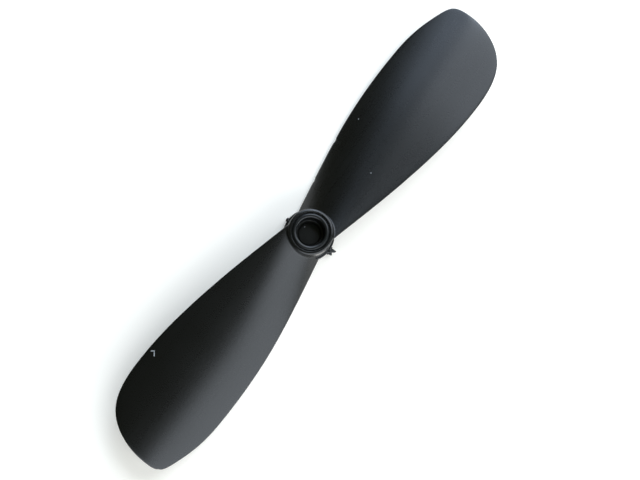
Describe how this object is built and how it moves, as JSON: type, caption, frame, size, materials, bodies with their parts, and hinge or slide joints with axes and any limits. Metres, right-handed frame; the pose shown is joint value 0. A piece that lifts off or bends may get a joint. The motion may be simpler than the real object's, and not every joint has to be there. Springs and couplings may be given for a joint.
{
  "type": "two-blade propeller",
  "caption": "Small moulded two-blade propeller with broad cambered paddle blades, a round cup-fronted hub and a push-in shaft sleeve.",
  "frame": {"origin": "centre of the hub's rear face, on the spin axis", "axes": "+Z along the spin axis towards the front, +X from the hub to the tip of blade A"},
  "size_m": [0.075, 0.014, 0.005],
  "materials": {
    "moulding": "black injection-moulded plastic, satin",
    "sleeve": "black moulded plastic, satin"
  },
  "bodies": {
    "moulding": {"hub_barrel": "moulding", "blade_a": "moulding", "blade_b": "moulding"},
    "sleeve": {"shaft_sleeve": "sleeve"}
  },
  "joints": [
    {"name": "sleeve_slide", "type": "slide", "parent": "moulding", "child": "sleeve", "axis": [0, 0, 1], "range_m": [0, 0.006]}
  ]
}
